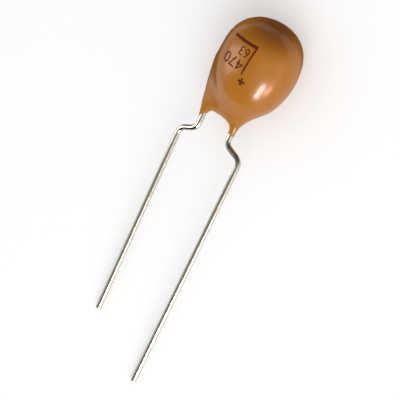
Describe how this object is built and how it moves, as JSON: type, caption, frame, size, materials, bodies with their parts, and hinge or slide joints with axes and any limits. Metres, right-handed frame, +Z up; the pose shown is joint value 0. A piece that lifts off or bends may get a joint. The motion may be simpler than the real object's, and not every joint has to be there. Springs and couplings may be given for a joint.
{
  "type": "tantalum capacitor",
  "caption": "Resin-dipped bead capacitor with a sintered pellet inside and two round tinned leads that kink outwards below the bead; it lies on its back with its marked face up.",
  "frame": {"origin": "middle of the lying part's footprint box, on the surface that it rests on", "axes": "+Z up, with the marked face up; +Y along the part from the leads' cut ends to the bead's crown; +X across the leads, towards the anode lead"},
  "size_m": [0.008, 0.0344, 0.0068],
  "materials": {
    "epoxy_resin": "glossy caramel-brown dipped epoxy",
    "tinned_wire": "bright tin plate",
    "sintered_tantalum": "matte sintered powder",
    "tantalum_wire": "drawn wire",
    "ptfe": "matte white",
    "manganese_dioxide": "matte near-black",
    "graphite": "matte black",
    "silver_paint": "matte silver-loaded paint",
    "solder": "dull solder"
  },
  "bodies": {
    "root": {"resin_coat": "epoxy_resin", "anode_lead": "tinned_wire", "cathode_lead": "tinned_wire", "tantalum_pellet": "sintered_tantalum", "riser_wire": "tantalum_wire", "ptfe_washer": "ptfe", "manganese_dioxide_coat": "manganese_dioxide", "graphite_coat": "graphite", "silver_coat": "silver_paint", "solder_coat": "solder"}
  },
  "joints": []
}
